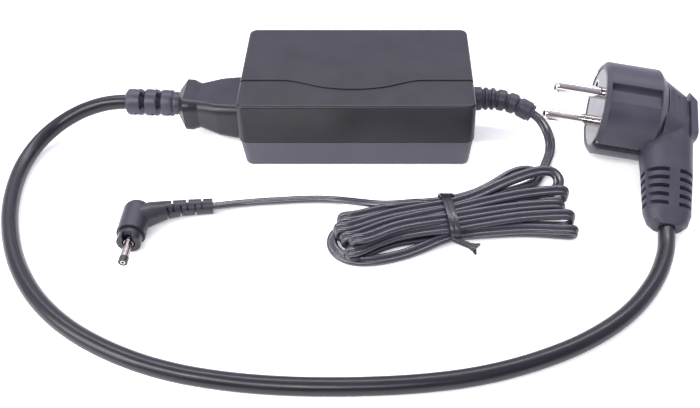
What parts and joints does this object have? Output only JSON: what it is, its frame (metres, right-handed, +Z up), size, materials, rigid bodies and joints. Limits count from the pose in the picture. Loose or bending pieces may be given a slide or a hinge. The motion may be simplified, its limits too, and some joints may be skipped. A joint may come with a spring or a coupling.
{
  "type": "laptop power adapter",
  "caption": "Black laptop power adapter: a rounded brick with a detachable earthed mains lead and a captive low voltage cord tied in a hank, ending in an angled barrel plug.",
  "frame": {"origin": "middle of the brick's underside", "axes": "+Z up, +X from the mains inlet to the low voltage outlet, -Y towards the cords in front of the brick"},
  "size_m": [0.2739, 0.1656, 0.04],
  "materials": {
    "shell_plastic": "fine spark-eroded texture",
    "moulding": "semi-matt moulded PVC",
    "lead_jacket": "smooth PVC jacket",
    "dc_jacket": "smooth PVC jacket",
    "label": "blank printed film",
    "contact_metal": "nickel plated",
    "pin_metal": "nickel plated, polished",
    "laminate": "solder mask",
    "insulation": "translucent film",
    "ferrite": "sintered",
    "winding": "polyester tape",
    "choke_wire": "enamelled copper wire",
    "can": "printed sleeve on an aluminium can",
    "component_body": "moulded epoxy",
    "film_box": "moulded box",
    "disc_ceramic": "dipped lacquer",
    "fuse_body": "ceramic tube",
    "sink_metal": "plain sheet",
    "wire": "insulated wire",
    "tie_strip": "paper covered wire",
    "tip_plastic": "moulded nylon"
  },
  "bodies": {
    "adapter": {"upper_shell": "shell_plastic", "lower_shell": "shell_plastic", "rating_label": "label", "inlet_housing": "component_body", "line_blade": "contact_metal", "neutral_blade": "contact_metal", "earth_blade": "contact_metal", "inlet_leads": "wire", "circuit_board": "laminate", "insulating_sheet": "insulation", "inlet_fuse": "fuse_body", "surge_thermistor": "disc_ceramic", "x_capacitor": "film_box", "emi_choke": "choke_wire", "bridge_rectifier": "component_body", "bulk_capacitor": "can", "primary_heat_sink": "sink_metal", "primary_switch": "component_body", "transformer_core": "ferrite", "transformer_winding": "winding", "y_capacitor": "disc_ceramic", "optocoupler": "component_body", "control_chip": "component_body", "secondary_heat_sink": "sink_metal", "secondary_rectifier": "component_body", "output_capacitors": "can", "output_choke": "choke_wire", "heat_spreader": "sink_metal", "output_leads": "wire", "dc_cord_hank": "dc_jacket", "twist_tie": "tie_strip", "dc_cord_from_brick": "dc_jacket", "dc_cord_to_plug": "dc_jacket", "dc_strain_relief": "moulding", "dc_plug_grip": "moulding", "dc_plug_sleeve": "pin_metal", "dc_plug_insulator": "tip_plastic", "dc_plug_contact": "contact_metal", "plug_overmould": "moulding", "plug_face_insert": "component_body", "line_pin": "pin_metal", "neutral_pin": "pin_metal", "plug_earth_tube": "contact_metal", "plug_earth_clips": "contact_metal", "plug_strain_relief": "moulding"},
    "mains_connector": {"connector_insert": "component_body", "line_socket": "contact_metal", "neutral_socket": "contact_metal", "earth_socket": "contact_metal", "connector_grip": "moulding", "connector_strain_relief": "moulding", "mains_cord": "lead_jacket"}
  },
  "joints": [
    {"name": "connector_unplug", "type": "slide", "parent": "adapter", "child": "mains_connector", "axis": [-1, 0, 0], "range_m": [0, 0.02]}
  ]
}
